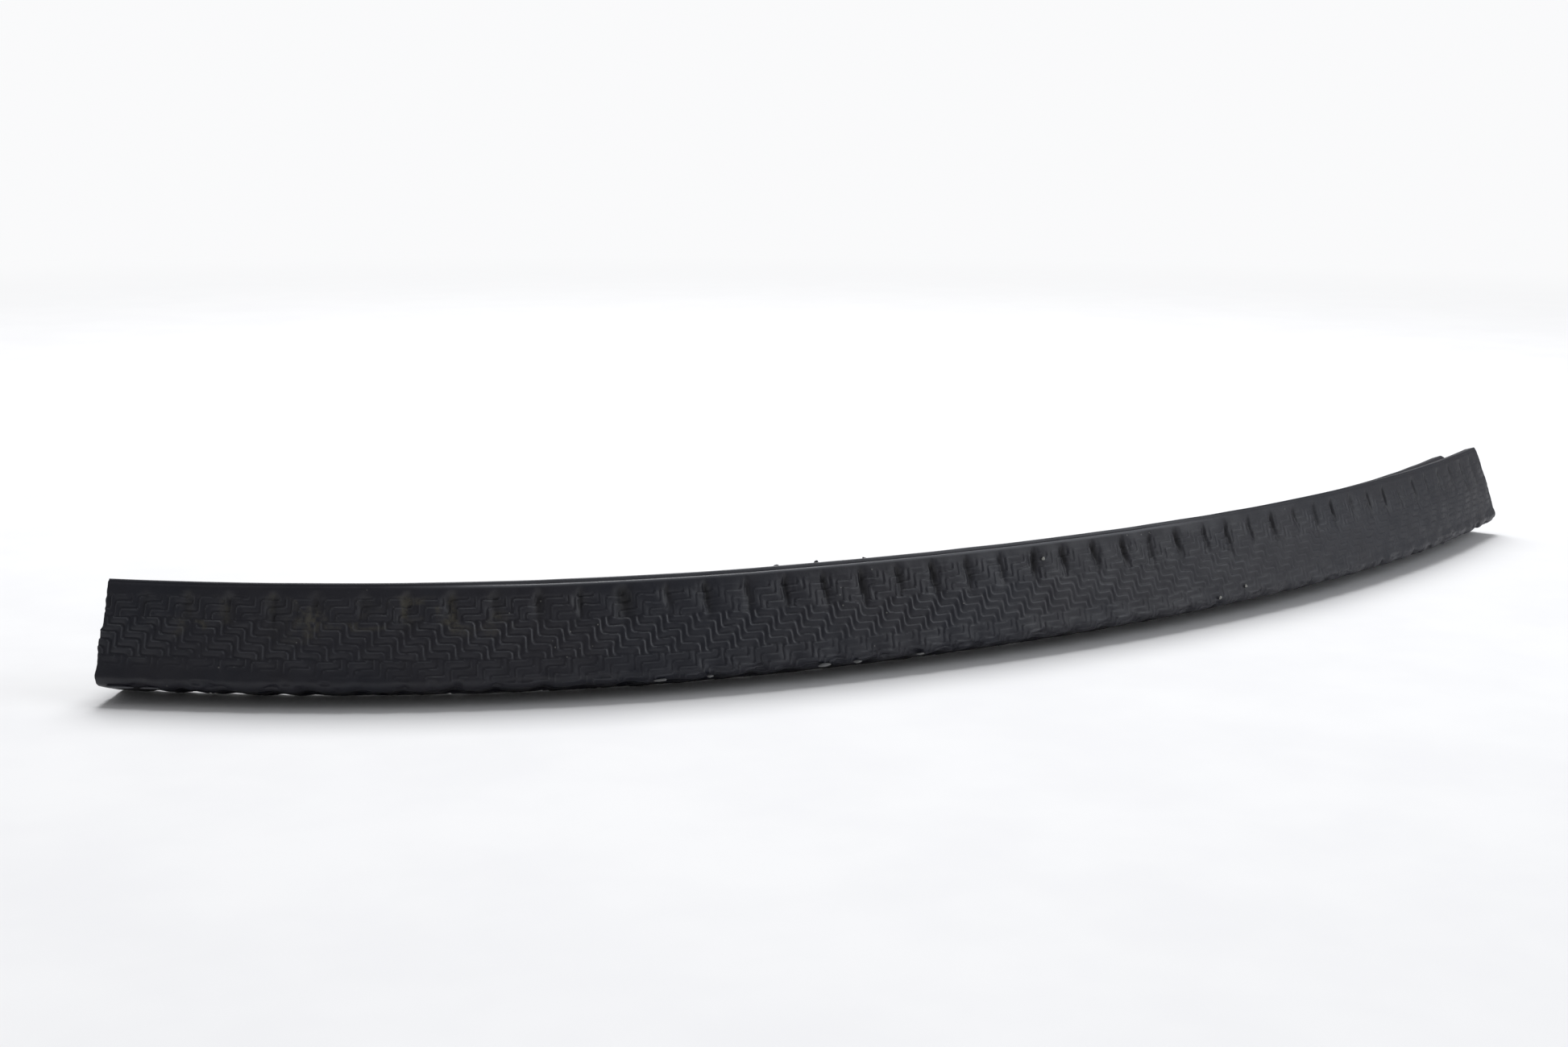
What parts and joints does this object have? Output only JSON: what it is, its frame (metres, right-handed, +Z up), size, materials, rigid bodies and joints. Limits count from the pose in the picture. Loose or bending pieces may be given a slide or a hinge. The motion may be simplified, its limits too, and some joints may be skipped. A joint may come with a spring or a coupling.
{
  "type": "edge trim",
  "caption": "Length of black U-shaped rubber edge trim with a slot that grips a panel's edge, steel clips and stay cords inside, and a stepped grain outside, lying in a shallow curve.",
  "frame": {"origin": "middle of the strip's footprint, on the surface that it lies on", "axes": "+X along the strip's length, towards its right end as seen from its outer face, +Y towards the inside of its curve, +Z up"},
  "size_m": [0.2566, 0.0614, 0.0163],
  "materials": {
    "rubber": "matt black rubber with a fine stepped grain on its outer face",
    "steel": "bare strip steel",
    "glass_fibre": "off-white glass-fibre yarn"
  },
  "bodies": {
    "middle": {"rubber_jacket": "rubber", "steel_clip_21": "steel", "steel_clip_22": "steel", "steel_clip_23": "steel", "steel_clip_24": "steel", "steel_clip_25": "steel", "steel_clip_26": "steel", "stay_cord_outer": "glass_fibre", "stay_cord_inner": "glass_fibre"},
    "left_1": {"steel_clip_17": "steel", "steel_clip_18": "steel", "steel_clip_19": "steel", "steel_clip_20": "steel"},
    "left_2": {"steel_clip_13": "steel", "steel_clip_14": "steel", "steel_clip_15": "steel", "steel_clip_16": "steel"},
    "left_3": {"steel_clip_09": "steel", "steel_clip_10": "steel", "steel_clip_11": "steel", "steel_clip_12": "steel"},
    "left_4": {"steel_clip_05": "steel", "steel_clip_06": "steel", "steel_clip_07": "steel", "steel_clip_08": "steel"},
    "left_5": {"steel_clip_01": "steel", "steel_clip_02": "steel", "steel_clip_03": "steel", "steel_clip_04": "steel"},
    "right_1": {"steel_clip_27": "steel", "steel_clip_28": "steel", "steel_clip_29": "steel", "steel_clip_30": "steel"},
    "right_2": {"steel_clip_31": "steel", "steel_clip_32": "steel", "steel_clip_33": "steel", "steel_clip_34": "steel"},
    "right_3": {"steel_clip_35": "steel", "steel_clip_36": "steel", "steel_clip_37": "steel", "steel_clip_38": "steel"},
    "right_4": {"steel_clip_39": "steel", "steel_clip_40": "steel", "steel_clip_41": "steel", "steel_clip_42": "steel"},
    "right_5": {"steel_clip_43": "steel", "steel_clip_44": "steel", "steel_clip_45": "steel", "steel_clip_46": "steel"}
  },
  "joints": [
    {"name": "bend_left_1", "type": "hinge", "parent": "middle", "child": "left_1", "pos_m": [-0.01536, -0.02489, 0.00346], "axis": [0, 0, -1], "range_deg": [-8, 8], "stiffness_Nm_per_rad": 0.5, "deforming": ["rubber_jacket", "stay_cord_outer", "stay_cord_inner"]},
    {"name": "bend_left_2", "type": "hinge", "parent": "left_1", "child": "left_2", "pos_m": [-0.03852, -0.02579, 0.00346], "axis": [0, 0, -1], "range_deg": [-8, 8], "stiffness_Nm_per_rad": 0.5, "deforming": ["rubber_jacket", "stay_cord_outer", "stay_cord_inner"]},
    {"name": "bend_left_3", "type": "hinge", "parent": "left_2", "child": "left_3", "pos_m": [-0.06144, -0.02417, 0.00346], "axis": [0, 0, -1], "range_deg": [-8, 8], "stiffness_Nm_per_rad": 0.5, "deforming": ["rubber_jacket", "stay_cord_outer", "stay_cord_inner"]},
    {"name": "bend_left_4", "type": "hinge", "parent": "left_3", "child": "left_4", "pos_m": [-0.0839, -0.01931, 0.00346], "axis": [0, 0, -1], "range_deg": [-8, 8], "stiffness_Nm_per_rad": 0.5, "deforming": ["rubber_jacket", "stay_cord_outer", "stay_cord_inner"]},
    {"name": "bend_left_5", "type": "hinge", "parent": "left_4", "child": "left_5", "pos_m": [-0.10546, -0.01133, 0.00346], "axis": [0, 0, -1], "range_deg": [-8, 8], "stiffness_Nm_per_rad": 0.5, "deforming": ["rubber_jacket", "stay_cord_outer", "stay_cord_inner"]},
    {"name": "bend_right_1", "type": "hinge", "parent": "middle", "child": "right_1", "pos_m": [0.01907, -0.02016, 0.00346], "axis": [0, 0, 1], "range_deg": [-8, 8], "stiffness_Nm_per_rad": 0.5, "deforming": ["rubber_jacket", "stay_cord_outer", "stay_cord_inner"]},
    {"name": "bend_right_2", "type": "hinge", "parent": "right_1", "child": "right_2", "pos_m": [0.04161, -0.01479, 0.00346], "axis": [0, 0, 1], "range_deg": [-8, 8], "stiffness_Nm_per_rad": 0.5, "deforming": ["rubber_jacket", "stay_cord_outer", "stay_cord_inner"]},
    {"name": "bend_right_3", "type": "hinge", "parent": "right_2", "child": "right_3", "pos_m": [0.06367, -0.00767, 0.00346], "axis": [0, 0, 1], "range_deg": [-8, 8], "stiffness_Nm_per_rad": 0.5, "deforming": ["rubber_jacket", "stay_cord_outer", "stay_cord_inner"]},
    {"name": "bend_right_4", "type": "hinge", "parent": "right_3", "child": "right_4", "pos_m": [0.08511, 0.00114, 0.00346], "axis": [0, 0, 1], "range_deg": [-8, 8], "stiffness_Nm_per_rad": 0.5, "deforming": ["rubber_jacket", "stay_cord_outer", "stay_cord_inner"]},
    {"name": "bend_right_5", "type": "hinge", "parent": "right_4", "child": "right_5", "pos_m": [0.10579, 0.01159, 0.00346], "axis": [0, 0, 1], "range_deg": [-8, 8], "stiffness_Nm_per_rad": 0.5, "deforming": ["rubber_jacket", "stay_cord_outer", "stay_cord_inner"]}
  ]
}
